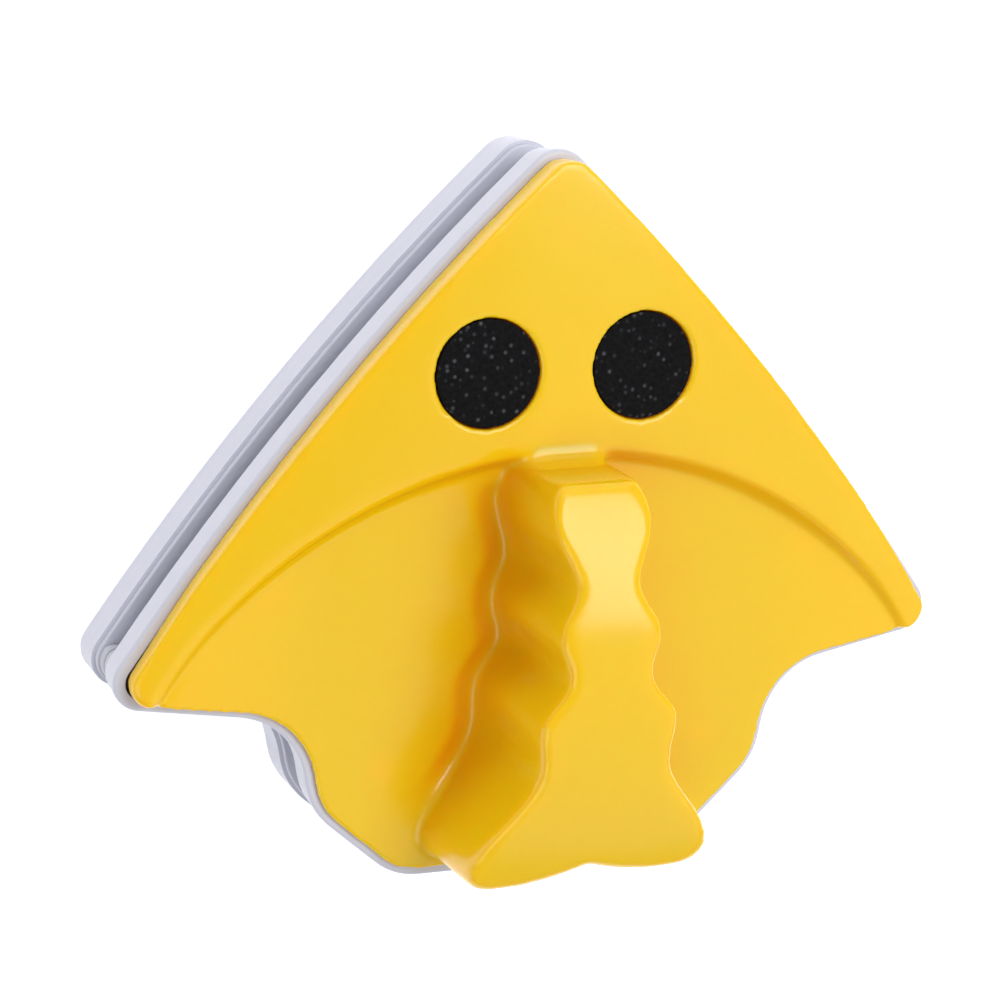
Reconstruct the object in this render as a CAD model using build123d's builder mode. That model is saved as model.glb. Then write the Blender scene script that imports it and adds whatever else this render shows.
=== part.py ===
from build123d import *
import os
from math import atan2, hypot, sin

# Two-sided magnetic glass cleaner, millimetres, +Z up.  It lies on its plain outer face: the outer
# half is below, the handle half above, and a pane would stand between their cleaning pads.
# The apex of the triangle points along +Y.  Heights count up from the outer face.  Lengths along
# the body are set out from the eye line, the line through the middles of the two round eyes.

# ---- outline of the body, from the eye line -------------------------------------------------
tip_x = 110.0            # wing tips, before their corners are rounded
tip_y = -73.2
apex_y = 51.0            # apex, before it is rounded
side_bow = 4.7           # how far each long side bulges
scoop = (62.5, -81.5)    # corner of the scoop under each wing
lobe_shoulder = (58.5, -106.0)
lobe_foot = (38.0, -124.6)
lobe_bottom_y = -126.0
apex_radius = 6.0
tip_radius = 4.5
scoop_radius = 23.0
shoulder_radius = 17.0
foot_radius = 15.0
bottom_radius = 60.0

# ---- levels ------------------------------------------------------------------------------------
outer_depth = 14.5       # outer half, outer face to the edge of its face plate
pane_gap = 8.0           # between the two halves' plastic, filled by pads and blades
tray_depth = 11.0        # inner tray, glass side to the seat of the yellow shell
shell_depth = 8.0        # yellow shell, seat to the eye face
flange_out = 2.0         # tray flange proud of the shell's wall
flange_depth = 2.6
flange_round = 1.1
shell_draft = 0.7        # shell wall proud of its top outline
lip_in = 0.9             # outer face plate set in from the cover's wall
tray_in = 0.6            # tray wall set in from the flange's edge

# ---- walls and clearances ------------------------------------------------------------------
shell_wall = 2.2
tray_wall = 2.2
plate_thick = 2.0        # tray floor and outer face plate
cover_wall = 2.2
clearance = 0.3
edge_round = 1.4
cover_round = 2.0

# ---- face of the yellow shell -------------------------------------------------------------
crown_drop = 2.6         # eye face lower at the wing tips than on the middle line
fan_centre_y = -145.3    # centre of the arc that bounds the sunken fan
fan_crest_radius = 125.5
fan_slope = 3.6          # width of the slope from eye face to fan floor
fan_depth = 6.4
eye_radius = 13.1
eye_pitch = 40.5
eye_thick = 3.0
eye_floor = 1.6

# ---- grip ----------------------------------------------------------------------------------------
grip_top_y = -23.0       # upper end of the grip
grip_tail_y = -121.0     # lower end of the grip
grip_end_rise = 20.0     # grip above the eye face at both ends
grip_crest_rise = 31.5   # grip above the eye face at its crest
finger_pitch = 20.5      # from one finger swell to the next
first_swell_y = -37.0
swell_front = [11.0, 13.2, 17.6]
neck_front = [7.8, 10.6, 16.6]
swell_base = [12.8, 14.0, 17.6]
neck_base = [11.0, 12.0, 18.4]
top_front = 8.8
top_base = 12.0
tail_front = [(-103.0, 24.5), (-111.5, 29.8)]
tail_base = [(-104.0, 26.5), (-112.5, 32.5)]
tail_end_front = 31.0
tail_end_base = 33.5
tail_corner = 6.0
tail_notch = 3.0         # dip in the middle of the tail's lower edge

# ---- magnets and screws -------------------------------------------------------------------
magnet_radius = 12.0
magnet_thick = 5.0
cup_wall = 1.8
cup_glue = 0.2
nest_wall = 1.4
nest_deep = 3.0
lower_magnet_x = 44.0
lower_magnet_y = -54.0
screw_shank = 1.5
screw_head = 2.9
screw_bite = 6.5         # length of thread in the boss
boss_radius = 3.6
apex_screw_back = 19.0   # screw below the apex
wing_screw_in = 39.0     # screws in from the wing tips
wing_screw_up = 22.2     # and above them
lobe_screw_in = 14.5     # screws in from the lobe's shoulders
lobe_screw_up = 8.0

# ---- pads, blades and bumpers on both glass sides -------------------------------------
hook_thick = 0.8
hook_inset = 1.5
pad_thick = 3.0
pad_apex_half = 6.5
pad_apex_back = 8.0      # pad's narrow end below the apex
pad_wing_in = 26.0       # pad's wide corners in from the wing tips
pad_wing_up = 11.7       # and above them
pad_corner = 5.0
lobe_pad_top = (52.0, -75.5)
lobe_pad_side = (49.5, -104.0)
lobe_pad_foot = (34.0, -117.0)
lobe_pad_bottom_y = -119.0
blade_thick = 1.8
blade_root = 3.4
blade_root_deep = 1.2
blade_inset = 6.0        # side blade's middle in from the top outline
side_blade_start = 0.42  # share of the long side where its blade starts
side_blade_end = 0.9     # and where it ends
lower_blade_up = 5.2     # lower blade above the wing tips
lower_blade_in = 26.0    # and its ends in from them
bumper_radius = 2.0      # stem of each corner bumper, set in a round socket
bumper_reach = 4.6       # round inner end of the bumper, from the stem
bumper_margin = 1.2      # bumper proud of the outline, like the walls beside it
bumper_round = 0.6
bumper_root = 1.2
bumper_in = 5.5          # stems in from the wing tips
bumper_up = 2.8

# ---- cord anchor ----------------------------------------------------------------------------------
anchor_back = 28.5       # pocket for a safety cord, below the apex
anchor_length = 14.0
anchor_width = 8.0
anchor_deep = 6.0
anchor_wall = 1.6
anchor_pin = 1.3
anchor_pin_z = 2.6

# ---- worked out --------------------------------------------------------------------------------
flange_margin = shell_draft + flange_out
apex_half_angle = atan2(tip_x, apex_y - tip_y) + 2 * atan2(2 * side_bow, hypot(tip_x, apex_y - tip_y))
apex_reach = apex_y - apex_radius * (1 / sin(apex_half_angle) - 1) + flange_margin
eye_line = -(lobe_bottom_y - flange_margin + apex_reach) / 2
plate_z = outer_depth - plate_thick
tray_z = outer_depth + pane_gap
seat_z = tray_z + tray_depth
eye_face_z = seat_z + shell_depth
blade_rise = pane_gap / 2 - clearance
pad_apex = (pad_apex_half, apex_y - pad_apex_back)
pad_wing = (tip_x - pad_wing_in, tip_y + pad_wing_up)
lower_blade_y = tip_y + lower_blade_up
lower_blade_half = tip_x - lower_blade_in
bumper_places = [(side * (tip_x - bumper_in), tip_y + bumper_up) for side in (-1, 1)]
anchor_y = apex_y - anchor_back
screw_places = [(0.0, apex_y - apex_screw_back)]
for side in (-1, 1):
    screw_places.append((side * (tip_x - wing_screw_in), tip_y + wing_screw_up))
    screw_places.append((side * (lobe_shoulder[0] - lobe_screw_in), lobe_shoulder[1] + lobe_screw_up))
side_run = Vector(tip_x, tip_y - apex_y, 0)
side_out = Vector(-side_run.Y, side_run.X, 0).normalized()
side_mid = Vector(tip_x / 2, (apex_y + tip_y) / 2, 0) + side_out * side_bow
magnet_places = [
    (-eye_pitch / 2, 0.0),
    (eye_pitch / 2, 0.0),
    (-lower_magnet_x, lower_magnet_y),
    (lower_magnet_x, lower_magnet_y),
]


def level(z):
    """A plane at height z whose origin lies on the eye line."""
    return Plane((0, eye_line, z))


def body_outline(margin):
    """The manta outline grown by margin, as a sketch face about the eye line."""
    with BuildSketch() as outline:
        with BuildLine():
            ThreePointArc((0, apex_y), (side_mid.X, side_mid.Y), (tip_x, tip_y))
            Polyline((tip_x, tip_y), scoop, lobe_shoulder, lobe_foot, (0, lobe_bottom_y))
            mirror(about=Plane.YZ)
        make_face()
        corners = [
            ((0, apex_y), apex_radius),
            ((tip_x, tip_y), tip_radius),
            (scoop, scoop_radius),
            (lobe_shoulder, shoulder_radius),
            (lobe_foot, foot_radius),
            ((0, lobe_bottom_y), bottom_radius),
        ]
        for place, radius in corners:
            near = [v for v in outline.vertices()
                    if abs(abs(v.X) - place[0]) < 0.01 and abs(v.Y - place[1]) < 0.01]
            fillet(near, radius)
    if margin == 0:
        return outline.sketch
    with BuildSketch() as grown:
        add(outline.sketch)
        offset(amount=margin, kind=Kind.ARC, mode=Mode.REPLACE)
    return grown.sketch


def grip_outline(top_half, swells, necks, tail, tail_half, inset):
    """Outline of the grip at one height: finger swells, then the flared tail."""
    points = [(top_half - inset, grip_top_y - inset)]
    for number in range(len(swells)):
        middle = first_swell_y - number * finger_pitch
        points.append((swells[number] - inset, middle))
        points.append((necks[number] - inset, middle - finger_pitch / 2))
    for y, half in tail:
        points.append((half - inset, y))
    points.append((tail_half - inset, grip_tail_y + inset))
    with BuildSketch() as outline:
        with BuildLine():
            Line((0, grip_top_y - inset), points[0])
            Spline(*points)
            ThreePointArc(points[-1], (tail_half / 2, grip_tail_y + inset - tail_notch / 3),
                          (0, grip_tail_y + inset + tail_notch))
            mirror(about=Plane.YZ)
        make_face()
        fillet([v for v in outline.vertices() if v.Y < grip_tail_y + inset + 0.1], tail_corner)
    return outline.sketch


def grip_form(inset):
    """The grip as a solid from below the fan floor up to its arched front."""
    low = seat_z - (1 if inset else 0)
    high = eye_face_z + grip_crest_rise + 2
    with BuildPart() as grip:
        with BuildSketch(level(low)):
            add(grip_outline(top_base, swell_base, neck_base, tail_base, tail_end_base, inset))
        with BuildSketch(level(high)):
            add(grip_outline(top_front, swell_front, neck_front, tail_front, tail_end_front, inset))
        loft()
        with BuildSketch(Plane((0, eye_line, 0), x_dir=(0, 1, 0), z_dir=(1, 0, 0))):
            with BuildLine():
                end_z = eye_face_z + grip_end_rise - inset
                crest_z = eye_face_z + grip_crest_rise - inset
                start = (grip_top_y, end_z)
                finish = (grip_tail_y, end_z)
                ThreePointArc(start, ((grip_top_y + grip_tail_y) / 2, crest_z), finish)
                Polyline(finish, (grip_tail_y - 5, end_z), (grip_tail_y - 5, low - 1),
                         (grip_top_y + 5, low - 1), (grip_top_y + 5, end_z), start)
            make_face()
        extrude(amount=60, both=True, mode=Mode.INTERSECT)
    return grip.part


def shell_form(inset):
    """The shell's outside shrunk by inset: crowned face, sunken fan and grip."""
    crown_radius = (tip_x ** 2 + crown_drop ** 2) / (2 * crown_drop)
    top = eye_face_z - inset
    with BuildPart() as form:
        with BuildSketch(level(seat_z - (1 if inset else 0))):
            add(body_outline(shell_draft - inset))
        extrude(amount=shell_depth + (1 if inset else 0))
        with BuildSketch(Plane((0, 0, 0), x_dir=(1, 0, 0), z_dir=(0, -1, 0))):
            with Locations((0, top - crown_radius)):
                Circle(crown_radius)
        extrude(amount=400, both=True, mode=Mode.INTERSECT)
        with BuildSketch(level(eye_face_z - fan_depth - inset)):
            with Locations((0, fan_centre_y)):
                Circle(fan_crest_radius - fan_slope + inset)
        with BuildSketch(level(eye_face_z)):
            with Locations((0, fan_centre_y)):
                Circle(fan_crest_radius + inset)
        loft(mode=Mode.SUBTRACT)
    return form.part


os.makedirs("parts", exist_ok=True)
shell_solid = shell_form(0)
shell_hollow = shell_form(shell_wall)
grip_solid = grip_form(0)
grip_hollow = grip_form(shell_wall)

# ---- handle half ---------------------------------------------------------------------------------
tray_margin = flange_margin - tray_in
tray_floor_top = tray_z + plate_thick
cup_radius = magnet_radius + cup_glue + cup_wall
cup_depth = magnet_thick + cup_wall
boss_low = tray_floor_top + clearance

with BuildPart() as handle_shell:
    add(shell_solid)
    add(grip_solid)
    add(shell_hollow, mode=Mode.SUBTRACT)
    add(grip_hollow, mode=Mode.SUBTRACT)
    with Locations(*[(x, eye_line + y, eye_face_z - eye_thick - eye_floor) for x, y in magnet_places[:2]]):
        Cylinder(eye_radius + clearance + shell_wall, eye_thick + eye_floor - shell_wall + 0.5,
                 align=(Align.CENTER, Align.CENTER, Align.MIN))
    with Locations(*[(x, eye_line + y, eye_face_z - eye_thick) for x, y in magnet_places[:2]]):
        Cylinder(eye_radius + clearance, eye_thick + 1,
                 align=(Align.CENTER, Align.CENTER, Align.MIN), mode=Mode.SUBTRACT)
    with BuildSketch(level(boss_low)):
        with Locations(*screw_places):
            Circle(boss_radius)
    extrude(until=Until.NEXT)
    with BuildSketch(level(boss_low)):
        with Locations(*screw_places):
            Circle(screw_shank)
    extrude(amount=screw_bite, mode=Mode.SUBTRACT)
handle_shell.part.label = "handle_shell"
export_step(handle_shell.part, "parts/handle_shell.step")

for side, (x, y) in zip(("left", "right"), magnet_places[:2]):
    with BuildPart() as eye_pad:
        with BuildSketch(level(eye_face_z - eye_thick)):
            with Locations((x, y)):
                Circle(eye_radius)
        extrude(amount=eye_thick - 0.1)
    eye_pad.part.label = f"{side}_eye_pad"
    export_step(eye_pad.part, f"parts/{side}_eye_pad.step")


def side_blade_line(side):
    """Middle line of a side blade: start and end points about the eye line."""
    ends = []
    for share in (side_blade_start, side_blade_end):
        along = Vector(0, apex_y, 0) + side_run * share
        point = along + side_out * (4 * side_bow * share * (1 - share) - blade_inset)
        ends.append((side * point.X, point.Y))
    return ends


blade_lines = {
    "left_blade": side_blade_line(-1),
    "right_blade": side_blade_line(1),
    "lower_blade": [(-lower_blade_half, lower_blade_y), (lower_blade_half, lower_blade_y)],
}


def strip(line, width):
    """A straight strip of the given width about a middle line, as a sketch face."""
    (x0, y0), (x1, y1) = line
    run = Vector(x1 - x0, y1 - y0, 0)
    angle = Vector(1, 0, 0).get_signed_angle(run, Vector(0, 0, 1))
    with BuildSketch() as face:
        with Locations(Location(((x0 + x1) / 2, (y0 + y1) / 2, 0), (0, 0, angle))):
            Rectangle(run.length, width)
    return face.sketch


def pad_outline(inset):
    """The triangular cleaning pad."""
    with BuildSketch() as face:
        with BuildLine():
            Polyline((-pad_apex[0], pad_apex[1]), pad_apex, pad_wing, (-pad_wing[0], pad_wing[1]),
                     close=True)
        make_face()
        fillet(face.vertices(), pad_corner)
        if inset:
            offset(amount=-inset, mode=Mode.REPLACE)
    return face.sketch


def lobe_pad_outline(inset):
    """The small pad on the lobe below the lower blade."""
    with BuildSketch() as face:
        with BuildLine():
            Polyline((0, lobe_pad_top[1]), lobe_pad_top, lobe_pad_side, lobe_pad_foot,
                     (0, lobe_pad_bottom_y))
            mirror(about=Plane.YZ)
        make_face()
        fillet([v for v in face.vertices() if abs(v.X) > 1], pad_corner)
        if inset:
            offset(amount=-inset, mode=Mode.REPLACE)
    return face.sketch


def screw_set(face_z, way, head, shank, length):
    """Countersunk screws, or the room for them, driven from face_z up (1) or down (-1)."""
    turn = 0 if way > 0 else 180
    places = [Location((x, eye_line + y, face_z), (turn, 0, 0)) for x, y in screw_places]
    with BuildPart() as screws:
        with Locations(*places):
            Cone(head, shank, head - shank, align=(Align.CENTER, Align.CENTER, Align.MIN))
            Cylinder(shank, length, align=(Align.CENTER, Align.CENTER, Align.MIN))
    return screws.part


def glass_side_room(face_z, way):
    """What is cut from a glass side: blade channels, bumper sockets and screw holes."""
    with BuildPart() as room:
        with BuildSketch(level(face_z)):
            for line in blade_lines.values():
                add(strip(line, blade_root))
        extrude(amount=-way * blade_root_deep)
        with BuildSketch(level(face_z)):
            with Locations(*bumper_places):
                Circle(bumper_radius)
        extrude(amount=-way * bumper_root)
    holes = screw_set(face_z, -way, screw_head, screw_shank + clearance / 2, plate_thick + 1)
    return room.part, holes


with BuildPart() as inner_tray:
    with BuildSketch(level(tray_z)):
        add(body_outline(tray_margin))
    extrude(amount=tray_depth)
    fillet(inner_tray.faces().sort_by(Axis.Z)[0].edges(), edge_round)
    with BuildSketch(level(seat_z - flange_depth)):
        add(body_outline(flange_margin))
    extrude(amount=flange_depth)
    fillet(inner_tray.faces().sort_by(Axis.Z)[-1].edges(), flange_round)
    with BuildSketch(level(tray_floor_top)):
        add(body_outline(tray_margin - tray_wall))
    extrude(amount=tray_depth, mode=Mode.SUBTRACT)
    with BuildSketch(level(tray_floor_top)):
        with Locations(*magnet_places):
            Circle(cup_radius + clearance + nest_wall)
            Circle(cup_radius + clearance, mode=Mode.SUBTRACT)
    extrude(amount=nest_deep)
    for cut in glass_side_room(tray_z, -1):
        add(cut, mode=Mode.SUBTRACT)
inner_tray.part.label = "inner_tray"
export_step(inner_tray.part, "parts/inner_tray.step")

# ---- outer half -----------------------------------------------------------------------------------
with BuildPart() as outer_cover:
    with BuildSketch(level(0)):
        add(body_outline(flange_margin))
    extrude(amount=plate_z)
    fillet(outer_cover.faces().sort_by(Axis.Z)[0].edges(), cover_round)
    with BuildSketch(level(cover_wall)):
        add(body_outline(flange_margin - cover_wall))
    extrude(amount=plate_z, mode=Mode.SUBTRACT)
    with BuildSketch(level(cover_wall)):
        with Locations(*screw_places):
            Circle(boss_radius)
    extrude(amount=plate_z - cover_wall)
    with BuildSketch(level(plate_z)):
        with Locations(*screw_places):
            Circle(screw_shank)
    extrude(amount=-screw_bite, mode=Mode.SUBTRACT)
    with BuildSketch(level(cover_wall)):
        with Locations((0, anchor_y)):
            Rectangle(anchor_length + 2 * anchor_wall, anchor_width + 2 * anchor_wall)
    extrude(amount=anchor_deep + anchor_wall - cover_wall)
    with BuildSketch(level(0)):
        with Locations((0, anchor_y)):
            RectangleRounded(anchor_length, anchor_width, anchor_wall)
    extrude(amount=anchor_deep, mode=Mode.SUBTRACT)
    with Locations(Location((0, eye_line + anchor_y, anchor_pin_z), (0, 90, 0))):
        Cylinder(anchor_pin, anchor_length + 2 * anchor_wall, mode=Mode.SUBTRACT)
outer_cover.part.label = "outer_cover"
export_step(outer_cover.part, "parts/outer_cover.step")

with BuildPart() as cord_anchor_pin:
    with Locations(Location((0, eye_line + anchor_y, anchor_pin_z), (0, 90, 0))):
        Cylinder(anchor_pin, anchor_length + 2 * anchor_wall)
cord_anchor_pin.part.label = "cord_anchor_pin"
export_step(cord_anchor_pin.part, "parts/cord_anchor_pin.step")

with BuildPart() as outer_face_plate:
    with BuildSketch(level(plate_z)):
        add(body_outline(flange_margin - lip_in))
    extrude(amount=plate_thick)
    fillet(outer_face_plate.faces().sort_by(Axis.Z)[-1].edges(), lip_in / 2)
    with BuildSketch(level(plate_z)):
        with Locations(*magnet_places):
            Circle(cup_radius + clearance + nest_wall)
            Circle(cup_radius + clearance, mode=Mode.SUBTRACT)
    extrude(amount=-nest_deep)
    for cut in glass_side_room(outer_depth, 1):
        add(cut, mode=Mode.SUBTRACT)
outer_face_plate.part.label = "outer_face_plate"
export_step(outer_face_plate.part, "parts/outer_face_plate.step")

# ---- pieces that both halves have ---------------------------------------------------------------
# Each half: name, glass face, way its pads stand out, floor that its magnets sit against.
halves = [("outer", outer_depth, 1, plate_z), ("inner", tray_z, -1, tray_floor_top)]
for half, face_z, way, seat in halves:
    with BuildPart() as magnets:
        with BuildSketch(level(seat)):
            with Locations(*magnet_places):
                Circle(magnet_radius)
        extrude(amount=-way * magnet_thick)
    magnets.part.label = f"{half}_magnets"
    export_step(magnets.part, f"parts/{half}_magnets.step")

    with BuildPart() as cups:
        with BuildSketch(level(seat)):
            with Locations(*magnet_places):
                Circle(cup_radius)
        extrude(amount=-way * cup_depth)
        with BuildSketch(level(seat)):
            with Locations(*magnet_places):
                Circle(magnet_radius + cup_glue)
        extrude(amount=-way * magnet_thick, mode=Mode.SUBTRACT)
    cups.part.label = f"{half}_magnet_cups"
    export_step(cups.part, f"parts/{half}_magnet_cups.step")

    length = plate_thick + clearance + screw_bite if half == "inner" else plate_thick + screw_bite
    screws = screw_set(face_z, -way, screw_head, screw_shank, length)
    screws.label = f"{half}_screws"
    export_step(screws, f"parts/{half}_screws.step")

    for name, outline in (("", pad_outline), ("lobe_", lobe_pad_outline)):
        with BuildPart() as hook_sheet:
            with BuildSketch(level(face_z)):
                add(outline(hook_inset))
            extrude(amount=way * hook_thick)
        hook_sheet.part.label = f"{half}_{name}hook_sheet"
        export_step(hook_sheet.part, f"parts/{half}_{name}hook_sheet.step")

        with BuildPart() as pad:
            with BuildSketch(level(face_z + way * hook_thick)):
                add(outline(0))
            extrude(amount=way * pad_thick)
        pad.part.label = f"{half}_{name}pad"
        export_step(pad.part, f"parts/{half}_{name}pad.step")

    for name, line in blade_lines.items():
        with BuildPart() as blade:
            with BuildSketch(level(face_z)):
                add(strip(line, blade_root))
            extrude(amount=-way * blade_root_deep)
            with BuildSketch(level(face_z)):
                add(strip(line, blade_thick))
            extrude(amount=way * blade_rise)
        blade.part.label = f"{half}_{name}"
        export_step(blade.part, f"parts/{half}_{name}.step")

    with BuildPart() as bumpers:
        with BuildSketch(level(face_z - way * bumper_root)):
            with Locations(*bumper_places):
                Circle(bumper_radius)
        extrude(amount=way * bumper_root)
        with BuildSketch(level(face_z)):
            with Locations(*bumper_places):
                Circle(bumper_reach)
            add(body_outline(bumper_margin), mode=Mode.INTERSECT)
        extrude(amount=way * blade_rise)
        tips = bumpers.faces().filter_by(Axis.Z).sort_by(Axis.Z)
        fillet((tips[-2:] if way > 0 else tips[:2]).edges(), bumper_round)
    bumpers.part.label = f"{half}_bumpers"
    export_step(bumpers.part, f"parts/{half}_bumpers.step")
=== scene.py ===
"""Looks of the two-part magnetic glass cleaner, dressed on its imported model, in metres."""

import math

import bpy
import numpy as np
from mathutils import Matrix, Vector
from mathutils.kdtree import KDTree


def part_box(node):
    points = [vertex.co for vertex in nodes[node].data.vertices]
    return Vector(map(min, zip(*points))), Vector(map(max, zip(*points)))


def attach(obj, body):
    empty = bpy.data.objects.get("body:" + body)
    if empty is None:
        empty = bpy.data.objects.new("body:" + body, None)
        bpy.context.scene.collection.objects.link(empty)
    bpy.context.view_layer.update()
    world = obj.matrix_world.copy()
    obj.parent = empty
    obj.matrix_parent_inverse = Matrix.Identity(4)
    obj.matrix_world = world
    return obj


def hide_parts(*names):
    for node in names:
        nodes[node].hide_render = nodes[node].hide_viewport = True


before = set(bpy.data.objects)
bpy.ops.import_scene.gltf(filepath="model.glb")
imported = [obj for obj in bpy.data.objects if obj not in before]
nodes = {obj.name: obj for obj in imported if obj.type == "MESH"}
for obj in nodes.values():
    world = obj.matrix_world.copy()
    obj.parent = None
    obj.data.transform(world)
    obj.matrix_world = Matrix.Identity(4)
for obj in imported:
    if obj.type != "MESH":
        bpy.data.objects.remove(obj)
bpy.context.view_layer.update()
scene = bpy.context.scene


# ---------------------------------------------------------------- the view
# The cleaner lies on its flat back with the grip up. The camera looks down
# over the left wing, with the tip of the cleaner at the top.
CAMERA_PLACE = Vector((-0.24641, 0.15164, 0.57301))
CAMERA_AIM = Vector((-0.01680, 0.00788, 0.0415))
CAMERA_ROLL = math.radians(-120.62)
CAMERA_LENS = 89.98

camera = bpy.data.objects.new("camera", bpy.data.cameras.new("camera"))
camera.data.lens = CAMERA_LENS
camera.data.sensor_width = 36.0
camera.data.clip_start = 0.01
camera.data.clip_end = 10.0
sight = (CAMERA_AIM - CAMERA_PLACE).to_track_quat("-Z", "Y").to_matrix().to_4x4()
camera.matrix_world = Matrix.Translation(CAMERA_PLACE) @ sight @ Matrix.Rotation(-CAMERA_ROLL, 4, "Z")
scene.collection.objects.link(camera)
scene.camera = camera
scene.view_settings.view_transform = "Standard"
scene.view_settings.look = "None"


# ---------------------------------------------------------------- the room
# A plain pale table and soft studio light: an even pale sky, one bright softbox
# above the tip that the grip mirrors, and three broad weak fills round it.
def paint(name):
    """A finish for one of the record's material slots, with its shader ready for nodes."""
    made = bpy.data.materials.new(name + "_finish")
    made["slot"] = name
    made.use_nodes = True
    return made, made.node_tree.nodes, made.node_tree.links, made.node_tree.nodes["Principled BSDF"]


def speckle(tree_nodes, links, scale, detail, low, high, stops=(0.3, 0.7), target=None):
    """Noise in object space, stretched between two values or colours, into a socket."""
    place = tree_nodes.new("ShaderNodeTexCoord")
    noise = tree_nodes.new("ShaderNodeTexNoise")
    noise.inputs["Scale"].default_value = scale
    noise.inputs["Detail"].default_value = detail
    links.new(place.outputs["Object"], noise.inputs["Vector"])
    ramp = tree_nodes.new("ShaderNodeValToRGB")
    ramp.color_ramp.elements[0].position, ramp.color_ramp.elements[1].position = stops
    ramp.color_ramp.elements[0].color = low if isinstance(low, tuple) else (low, low, low, 1)
    ramp.color_ramp.elements[1].color = high if isinstance(high, tuple) else (high, high, high, 1)
    links.new(noise.outputs["Fac"], ramp.inputs["Fac"])
    if target is not None:
        links.new(ramp.outputs["Color"], target)
    return ramp


def grain(tree_nodes, links, shader, scale, depth, strength):
    """A fine bump in object space on a shader's normal, depth in metres."""
    place = tree_nodes.new("ShaderNodeTexCoord")
    noise = tree_nodes.new("ShaderNodeTexNoise")
    noise.inputs["Scale"].default_value = scale
    noise.inputs["Detail"].default_value = 3.0
    links.new(place.outputs["Object"], noise.inputs["Vector"])
    bump = tree_nodes.new("ShaderNodeBump")
    bump.inputs["Strength"].default_value = strength
    bump.inputs["Distance"].default_value = depth
    links.new(noise.outputs["Fac"], bump.inputs["Height"])
    links.new(bump.outputs["Normal"], shader.inputs["Normal"])


TABLE_HALF, TABLE_Z = 3.0, -0.0002
TABLE_GLOW = 0.50             # keeps the table white under the cleaner's shadow
SKY_GLOW = 0.30
table_mesh = bpy.data.meshes.new("table")
table_mesh.from_pydata(
    [(-TABLE_HALF, -TABLE_HALF, TABLE_Z), (TABLE_HALF, -TABLE_HALF, TABLE_Z),
     (TABLE_HALF, TABLE_HALF, TABLE_Z), (-TABLE_HALF, TABLE_HALF, TABLE_Z)],
    [], [(0, 1, 2, 3)])
table = bpy.data.objects.new("table", table_mesh)
scene.collection.objects.link(table)
table_paint, tn, tl, ts = paint("pale_table")
speckle(tn, tl, 3.0, 3.0, (0.90, 0.90, 0.905, 1), (0.93, 0.93, 0.93, 1), target=ts.inputs["Base Color"])
ts.inputs["Roughness"].default_value = 0.9
ts.inputs["Specular IOR Level"].default_value = 0.1
ts.inputs["Emission Color"].default_value = (1, 1, 1, 1)
ts.inputs["Emission Strength"].default_value = TABLE_GLOW
table_mesh.materials.append(table_paint)

world = bpy.data.worlds.new("studio")
world.use_nodes = True
world.node_tree.nodes["Background"].inputs["Color"].default_value = (0.95, 0.97, 1.0, 1)
world.node_tree.nodes["Background"].inputs["Strength"].default_value = SKY_GLOW
scene.world = world


LIGHTS_MEET = Vector((0, 0, 0.05))


def softbox(name, toward, distance, width, height, brightness, tint=(1, 1, 1)):
    """A rectangular light in a direction from LIGHTS_MEET, facing it."""
    lamp = bpy.data.objects.new(name, bpy.data.lights.new(name, "AREA"))
    lamp.data.shape = "RECTANGLE"
    lamp.data.size, lamp.data.size_y = width, height
    lamp.data.energy = brightness * math.pi * width * height
    lamp.data.color = tint
    way = Vector(toward).normalized()
    spot = LIGHTS_MEET + way * distance
    facing = (-way).to_track_quat("-Z", "Y").to_matrix().to_4x4()
    lamp.matrix_world = Matrix.Translation(spot) @ facing
    scene.collection.objects.link(lamp)


softbox("key_box", (0.30, 0.37, 0.86), 1.2, 1.0, 0.60, 4.8)
softbox("front_fill", (0.62, -0.50, 0.75), 1.5, 1.6, 1.4, 0.7)
softbox("left_fill", (-0.60, -0.35, 0.75), 1.6, 1.2, 1.2, 1.6)
softbox("top_fill", (0.10, 1.0, 0.45), 1.5, 1.6, 0.9, 0.75, (0.96, 0.98, 1.0))


# ------------------------------------------------- white ABS mouldings
# The outer cover, its face plate and the inner tray are injection moulded in
# cool white ABS, with a fine even grain and a satin shine.
WHITE_ABS = (0.62, 0.62, 0.71, 1)
WHITE_ABS_DEEP = (0.595, 0.60, 0.685, 1)
white_abs, wn, wl, ws = paint("white_abs")
speckle(wn, wl, 22.0, 4.0, WHITE_ABS_DEEP, WHITE_ABS, target=ws.inputs["Base Color"])
speckle(wn, wl, 300.0, 3.0, 0.30, 0.40, target=ws.inputs["Roughness"])
grain(wn, wl, ws, 1800.0, 0.00004, 0.25)


def dress(node, material):
    """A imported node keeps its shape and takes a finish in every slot."""
    mesh = nodes[node].data
    mesh.materials.clear()
    mesh.materials.append(material)
    for face in mesh.polygons:
        face.material_index = 0


for node in ("outer_cover", "outer_face_plate", "inner_tray"):
    dress(node, white_abs)


# ---------------------------------------------------------------- yellow shell
# The inner half's shell and its finger grip are one yellow ABS moulding, with
# soft rounded edges and a gloss that shows only a faint grain.
YELLOW = (0.94, 0.56, 0.004, 1)
YELLOW_DEEP = (0.92, 0.54, 0.003, 1)
# painted shade: the deeper orange yellow and the ambient occlusion reach and range that mix it in
YELLOW_PAINTED_SHADE = (0.97, 0.42, 0.002, 1)
PAINTED_SHADE_REACH = 0.035
PAINTED_SHADE_FULL, PAINTED_SHADE_NONE = 0.30, 0.78
yellow_abs, yn, yl, ys = paint("yellow_abs")
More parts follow.
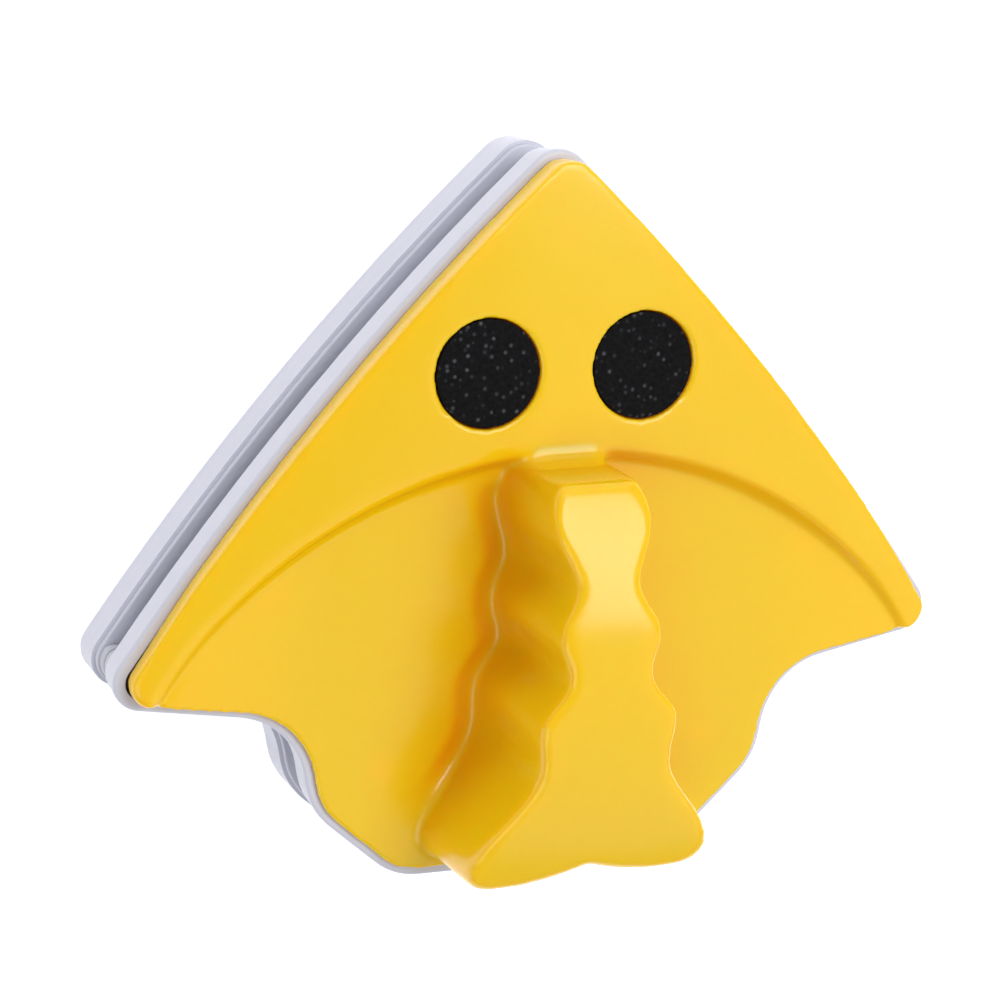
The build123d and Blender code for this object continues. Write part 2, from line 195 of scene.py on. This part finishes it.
# painted shade: the yellow is mixed to a deeper orange where ambient occlusion finds the form sheltered,
# as beside the grip, standing in for the shade and bounced light there
open_tone = speckle(yn, yl, 18.0, 3.0, YELLOW_DEEP, YELLOW)
painted_shade_occlusion = yn.new("ShaderNodeAmbientOcclusion")
painted_shade_occlusion.inputs["Distance"].default_value = PAINTED_SHADE_REACH
painted_shade_occlusion.samples = 8
depth = yn.new("ShaderNodeMapRange")
depth.inputs["From Min"].default_value = PAINTED_SHADE_FULL
depth.inputs["From Max"].default_value = PAINTED_SHADE_NONE
yl.new(painted_shade_occlusion.outputs["AO"], depth.inputs["Value"])
painted_shade_mix = yn.new("ShaderNodeMix")
painted_shade_mix.data_type = "RGBA"
yl.new(depth.outputs["Result"], painted_shade_mix.inputs["Factor"])
painted_shade_mix.inputs["A"].default_value = YELLOW_PAINTED_SHADE
yl.new(open_tone.outputs["Color"], painted_shade_mix.inputs["B"])
yl.new(painted_shade_mix.outputs["Result"], ys.inputs["Base Color"])
speckle(yn, yl, 90.0, 3.0, 0.16, 0.21, target=ys.inputs["Roughness"])
grain(yn, yl, ys, 420.0, 0.00002, 0.06)
ys.inputs["Subsurface Weight"].default_value = 0.5
ys.inputs["Subsurface Radius"].default_value = (1.0, 0.30, 0.05)
ys.inputs["Subsurface Scale"].default_value = 0.005


def copy_of(node, name):
    """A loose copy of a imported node's mesh, ready for shaping."""
    piece = bpy.data.objects.new(name, nodes[node].data.copy())
    scene.collection.objects.link(piece)
    return piece


def settle(piece):
    """Applies the modifiers on a piece, in order."""
    bpy.context.view_layer.update()
    ready = piece.evaluated_get(bpy.context.evaluated_depsgraph_get())
    mesh = bpy.data.meshes.new_from_object(ready)
    old, piece.data = piece.data, mesh
    piece.modifiers.clear()
    bpy.data.meshes.remove(old)
    for face in mesh.polygons:
        face.use_smooth = True


def points(piece):
    """The piece's points as rows of x, y and z."""
    place = np.empty(len(piece.data.vertices) * 3)
    piece.data.vertices.foreach_get("co", place)
    return place.reshape(-1, 3)


def reshape(piece, place):
    """Moves the piece's points."""
    piece.data.vertices.foreach_set("co", place.ravel())
    piece.data.update()


def skin(piece, voxel):
    """Rebuilds a piece as one fine even skin."""
    fine = piece.modifiers.new("skin", "REMESH")
    fine.mode = "VOXEL"
    fine.voxel_size = voxel
    settle(piece)


def ease(piece, rounds, share=None):
    """Rounds the edges of a fine skin, by a share from 0 to 1 at each point."""
    if share is not None:
        group = piece.vertex_groups.new(name="ease")
        for level in range(1, 11):
            near = np.flatnonzero(np.round(share * 10) == level)
            group.add(near.tolist(), level / 10, "REPLACE")
    soft = piece.modifiers.new("ease", "SMOOTH")
    soft.factor = 0.5
    soft.iterations = rounds
    if share is not None:
        soft.vertex_group = "ease"
    settle(piece)
    piece.vertex_groups.clear()


def ramp(value, low, high):
    """0 below low and 1 above high, with a soft turn at each."""
    part = np.clip((value - low) / (high - low), 0.0, 1.0)
    return part * part * (3.0 - 2.0 * part)


EYE_LINE = sum(corner.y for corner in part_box("left_eye_pad")) / 2
SHELL_VOXEL = 0.0007
FLOOR_Z = 0.0351              # sunken fan, beside the grip
GRIP_TOP, GRIP_TAIL = EYE_LINE - 0.023, EYE_LINE - 0.121
GRIP_WAIST = GRIP_TOP - 0.06
FOOT_REACH = (0.045, 0.022, 0.0155)   # farthest out the foot is, at tail, waist and top
FOOT_UP, FOOT_BAND = 0.004, 0.0008
WELL_DEEP, WELL_WIDE = 0.0030, 0.0080
WELL_TOP, WELL_TAIL = EYE_LINE - 0.026, EYE_LINE - 0.108
POCKETS = [EYE_LINE - y for y in (0.0470, 0.0675, 0.0880)]
POCKET_DEEP, POCKET_HALF = 0.0019, 0.0060
POCKET_LOW, POCKET_MIDDLE, POCKET_HIGH = 0.033, 0.044, 0.070
FACE_Z = 0.0415               # eye face on the middle line
COVE_ROUND, COVE_HALF = 0.0045, 0.0085
CREST_MIDDLE, CREST_ROUND = EYE_LINE - 0.1453, 0.1255
TIP_RISE, TIP_START, TIP_END = 0.0022, 0.055, 0.105
TIP_IN, TIP_IN_START, TIP_IN_END = 0.0011, 0.088, 0.109
GRIP_ROUNDS, ALL_ROUNDS = 46, 6

shell = copy_of("handle_shell", "yellow_shell")
skin(shell, SHELL_VOXEL)
place = points(shell)
x, y, z = place.T
out = np.abs(x)

# the grip's foot, measured a little above the fan
foot_rows = np.linspace(GRIP_TAIL, GRIP_TOP, 50)
widest = np.interp(y, (GRIP_TAIL, GRIP_WAIST, GRIP_TOP), FOOT_REACH)
at_foot = (np.abs(z - FLOOR_Z - FOOT_UP) < FOOT_BAND) & (out < widest) & (y < GRIP_TOP + 0.002)
foot_half = np.array([out[at_foot & (np.abs(y - row) < 0.002)].max() for row in foot_rows])
foot = np.interp(y, foot_rows, foot_half)
from_foot = out - foot

# the fan shallows out towards the wing tips, and the tips are drawn in a little
below_face = 1 - ramp(z, FLOOR_Z + 0.0003, FLOOR_Z + 0.0035)
in_fan = 1 - ramp(np.hypot(x, y - CREST_MIDDLE), CREST_ROUND - 0.005, CREST_ROUND - 0.001)
z += TIP_RISE * ramp(out, TIP_START, TIP_END) * below_face * in_fan * ramp(z, 0.0336, 0.0346)
x -= np.sign(x) * TIP_IN * ramp(out, TIP_IN_START, TIP_IN_END)

# finger wells roll down beside the grip, and pockets sink into its walls
along = ramp(y, WELL_TAIL, WELL_TAIL + 0.012) * (1 - ramp(y, WELL_TOP - 0.006, WELL_TOP))
across = 0.5 + 0.5 * np.cos(np.pi * np.clip(from_foot / WELL_WIDE, 0.0, 1.0))
low_part = 1 - ramp(z, FLOOR_Z + 0.0005, FLOOR_Z + 0.008)
under_grip = out < foot - 0.0035
z -= WELL_DEEP * along * across * low_part * np.where(under_grip, 0.0, 1.0)
pocket = sum(np.exp(-((y - row) / POCKET_HALF) ** 2) for row in POCKETS)
tall = ramp(z, POCKET_LOW, POCKET_MIDDLE) * (1 - ramp(z, POCKET_MIDDLE, POCKET_HIGH))
on_grip = (out < foot + 0.002) & (y < GRIP_TOP)
x -= np.sign(x) * POCKET_DEEP * pocket * tall * on_grip

# a cove carries the eye face up into the end of the grip
up_cove = np.clip((GRIP_TOP + COVE_ROUND - y) / COVE_ROUND, 0.0, 1.0)
cove = FACE_Z + COVE_ROUND - COVE_ROUND * np.sqrt(1 - up_cove ** 2)
cove_share = (1 - ramp(out, COVE_HALF, COVE_HALF + 0.003)) * (y > GRIP_TOP - 0.0006)
outside = z > FLOOR_Z - 0.0008
z += np.where(outside, np.clip(cove - z, 0.0, None) * cove_share * (up_cove > 0), 0.0)
reshape(shell, place)

# the skin's steps are rounded off, most of all round the grip and along the crest
by_grip = (1 - ramp(from_foot, 0.003, 0.007)) * (1 - ramp(y, GRIP_TOP + 0.004, GRIP_TOP + 0.009))
crisp_foot = 1 - 0.35 * (1 - ramp(z, FLOOR_Z + 0.001, FLOOR_Z + 0.007)) * (y < GRIP_TOP - 0.002)
crest_gap = np.abs(np.hypot(x, y - CREST_MIDDLE) - CREST_ROUND)
by_crest = 0.55 * (1 - ramp(crest_gap, 0.003, 0.006))
ease(shell, GRIP_ROUNDS, np.maximum(by_grip * crisp_foot, by_crest))
ease(shell, ALL_ROUNDS)
shell.data.materials.clear()
shell.data.materials.append(yellow_abs)
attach(shell, "handle_half")
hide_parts("handle_shell")


# ---------------------------------------------------------------- eyes
# Each eye is a die-cut disc of black fleck foam, pressed and glued into its
# round pocket just under flush, with a slightly rolled edge.
FOAM_BLACK = (0.004, 0.004, 0.0045, 1)
FOAM_GREY = (0.0085, 0.0085, 0.0095, 1)
FLECK_GREY = (0.085, 0.085, 0.095, 1)
FLECKS_PER_METRE = 620.0
FLECK_CORE, FLECK_EDGE = 0.12, 0.42
FLECK_RARITY = 0.45           # share of the spots that stay black
FOAM_VOXEL = 0.0003
eye_foam, en, el, es = paint("eye_foam")
tone = speckle(en, el, 900.0, 3.0, FOAM_BLACK, FOAM_GREY)
spots = en.new("ShaderNodeTexVoronoi")
spots.inputs["Scale"].default_value = FLECKS_PER_METRE
spot_place = en.new("ShaderNodeTexCoord")
el.new(spot_place.outputs["Object"], spots.inputs["Vector"])
near = en.new("ShaderNodeMapRange")
near.inputs["From Min"].default_value, near.inputs["From Max"].default_value = FLECK_CORE, FLECK_EDGE
near.inputs["To Min"].default_value, near.inputs["To Max"].default_value = 1.0, 0.0
el.new(spots.outputs["Distance"], near.inputs["Value"])
chance = en.new("ShaderNodeSeparateColor")
el.new(spots.outputs["Color"], chance.inputs["Color"])
few = en.new("ShaderNodeMapRange")
few.inputs["From Min"].default_value, few.inputs["From Max"].default_value = FLECK_RARITY, 1.0
el.new(chance.outputs["Red"], few.inputs["Value"])
both = en.new("ShaderNodeMath")
both.operation = "MULTIPLY"
el.new(near.outputs["Result"], both.inputs[0])
el.new(few.outputs["Result"], both.inputs[1])
flecked = en.new("ShaderNodeMix")
flecked.data_type = "RGBA"
el.new(both.outputs["Value"], flecked.inputs["Factor"])
el.new(tone.outputs["Color"], flecked.inputs["A"])
flecked.inputs["B"].default_value = FLECK_GREY
el.new(flecked.outputs["Result"], es.inputs["Base Color"])
es.inputs["Roughness"].default_value = 0.85
es.inputs["Specular IOR Level"].default_value = 0.08
grain(en, el, es, 1400.0, 0.00012, 0.7)


def rim_gap(piece, still=0.5):
    """How far each point of a flat piece lies in from its rim, in plan, with the point's normal."""
    place = points(piece)
    face = np.empty(place.size)
    piece.data.vertex_normals.foreach_get("vector", face)
    face = face.reshape(-1, 3)
    rim = place[np.abs(face[:, 2]) < still][:, :2]
    tree = KDTree(len(rim))
    for i, spot in enumerate(rim):
        tree.insert((spot[0], spot[1], 0.0), i)
    tree.balance()
    gap = np.array([tree.find((x, y, 0.0))[2] for x, y in place[:, :2]])
    return place, face, gap


def crown(piece, drop, width, up=True):
    """The working face of a flat piece falls away towards its rim."""
    place, face, gap = rim_gap(piece)
    side = face[:, 2] if up else -face[:, 2]
    fall = drop * np.exp(-gap / width) * np.clip(side, 0.0, 1.0)
    place[:, 2] += -fall if up else fall
    reshape(piece, place)


def nap(piece, kind, size, height):
    """Small tufts or pores raised along the surface of a soft piece."""
    pattern = bpy.data.textures.new(piece.name + "_nap", kind)
    pattern.noise_scale = size
    lift = piece.modifiers.new("nap", "DISPLACE")
    lift.texture = pattern
    lift.texture_coords = "LOCAL"
    lift.strength = height
    lift.mid_level = 1.0
    settle(piece)


def finish_soft(piece, node, body, material):
    """A soft piece takes its finish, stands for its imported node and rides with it."""
    piece.data.materials.clear()
    piece.data.materials.append(material)
    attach(piece, body)
    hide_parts(node)


for node, name in (("left_eye_pad", "left_eye"), ("right_eye_pad", "right_eye")):
    eye = copy_of(node, name)
    skin(eye, FOAM_VOXEL)
    ease(eye, 8)
    crown(eye, 0.0004, 0.0009)
    nap(eye, "CLOUDS", 0.0006, 0.00012)
    finish_soft(eye, node, "handle_half", eye_foam)


# ---------------------------------------------------------------- wiping pads
# Each wiping pad is a die-cut sheet of grey fleece with a looped back, held
# on a sheet of hook tape that is glued to the plastic.
FLEECE_LIGHT = (0.52, 0.53, 0.56, 1)
FLEECE_SHADE = (0.36, 0.37, 0.40, 1)
PAD_VOXEL = 0.00065
pad_cloth, pn, pl, ps = paint("pad_cloth")
speckle(pn, pl, 700.0, 4.0, FLEECE_SHADE, FLEECE_LIGHT, stops=(0.35, 0.65), target=ps.inputs["Base Color"])
ps.inputs["Roughness"].default_value = 0.95
ps.inputs["Specular IOR Level"].default_value = 0.12
ps.inputs["Sheen Weight"].default_value = 0.35
ps.inputs["Sheen Roughness"].default_value = 0.5
grain(pn, pl, ps, 2600.0, 0.00025, 0.8)

for body, face_up in (("handle_half", False), ("outer_half", True)):
    half = "inner" if body == "handle_half" else "outer"
    for part in ("pad", "lobe_pad"):
        pad = copy_of(f"{half}_{part}", f"{half}_fleece_{part}")
        skin(pad, PAD_VOXEL)
        ease(pad, 8)
        crown(pad, 0.0007, 0.0022, face_up)
        nap(pad, "CLOUDS", 0.0012, 0.00035)
        finish_soft(pad, f"{half}_{part}", body, pad_cloth)


# ---------------------------------------------------------------- hook tape
# Thin charcoal nylon sheets of tiny hooks, cut to the pads' outlines and
# glued to the plastic.
HOOK_DARK, HOOK_LIGHT = (0.02, 0.02, 0.022, 1), (0.07, 0.07, 0.075, 1)
hook_tape, hn, hl, hs = paint("hook_tape")
speckle(hn, hl, 900.0, 2.0, HOOK_DARK, HOOK_LIGHT, target=hs.inputs["Base Color"])
hs.inputs["Roughness"].default_value = 0.7
grain(hn, hl, hs, 1600.0, 0.0004, 1.0)
for half in ("inner", "outer"):
    for part in ("hook_sheet", "lobe_hook_sheet"):
        dress(f"{half}_{part}", hook_tape)


# ---------------------------------------------------------------- wiper blades
# Dark grey rubber blades stand in grooves round the pads and sweep the glass.
# Pale grey rubber bumpers, plugged in at the wing tips, keep plastic off it.
BLADE_DARK, BLADE_DUSTY = (0.018, 0.018, 0.02, 1), (0.035, 0.035, 0.037, 1)
BUMPER_SHADE, BUMPER_LIGHT = (0.50, 0.50, 0.56, 1), (0.55, 0.55, 0.62, 1)
blade_rubber, rn, rl, rs = paint("blade_rubber")
speckle(rn, rl, 120.0, 4.0, BLADE_DARK, BLADE_DUSTY, target=rs.inputs["Base Color"])
speckle(rn, rl, 500.0, 2.0, 0.48, 0.62, target=rs.inputs["Roughness"])
grain(rn, rl, rs, 1500.0, 0.00004, 0.4)
bumper_rubber, un, ul, us = paint("bumper_rubber")
speckle(un, ul, 160.0, 4.0, BUMPER_SHADE, BUMPER_LIGHT, target=us.inputs["Base Color"])
us.inputs["Roughness"].default_value = 0.6
grain(un, ul, us, 1500.0, 0.00004, 0.4)
RUBBER_VOXEL = 0.0003
for half, body in (("inner", "handle_half"), ("outer", "outer_half")):
    for part in ("left_blade", "right_blade", "lower_blade"):
        blade = copy_of(f"{half}_{part}", f"{half}_{part}_rubber")
        skin(blade, RUBBER_VOXEL)
        ease(blade, 4)
        finish_soft(blade, f"{half}_{part}", body, blade_rubber)
    bumper = copy_of(f"{half}_bumpers", f"{half}_bumpers_rubber")
    skin(bumper, RUBBER_VOXEL)
    ease(bumper, 4)
    finish_soft(bumper, f"{half}_bumpers", body, bumper_rubber)


# ---------------------------------------------------------------- metal parts
# Nickel-plated disc magnets sit in pressed steel cups; stainless screws hold
# each half together, and a stainless pin takes the safety cord.
def metal(name, colour, dark, rough_low, rough_high, lines=900.0):
    """A plain metal finish with fine lines and a little tarnish."""
    made, mn, ml, ms = paint(name)
    speckle(mn, ml, 60.0, 4.0, dark, colour, target=ms.inputs["Base Color"])
    ms.inputs["Metallic"].default_value = 1.0
    speckle(mn, ml, lines, 2.0, rough_low, rough_high, target=ms.inputs["Roughness"])
    grain(mn, ml, ms, lines * 2, 0.00001, 0.3)
    return made


nickel = metal("magnet", (0.72, 0.70, 0.66, 1), (0.62, 0.60, 0.56, 1), 0.18, 0.30)
cup_steel = metal("cup_steel", (0.60, 0.61, 0.63, 1), (0.48, 0.49, 0.51, 1), 0.30, 0.48)
stainless = metal("stainless", (0.66, 0.65, 0.63, 1), (0.56, 0.55, 0.54, 1), 0.20, 0.34)
for half in ("inner", "outer"):
    dress(f"{half}_magnets", nickel)
    dress(f"{half}_magnet_cups", cup_steel)
    dress(f"{half}_screws", stainless)
dress("cord_anchor_pin", stainless)
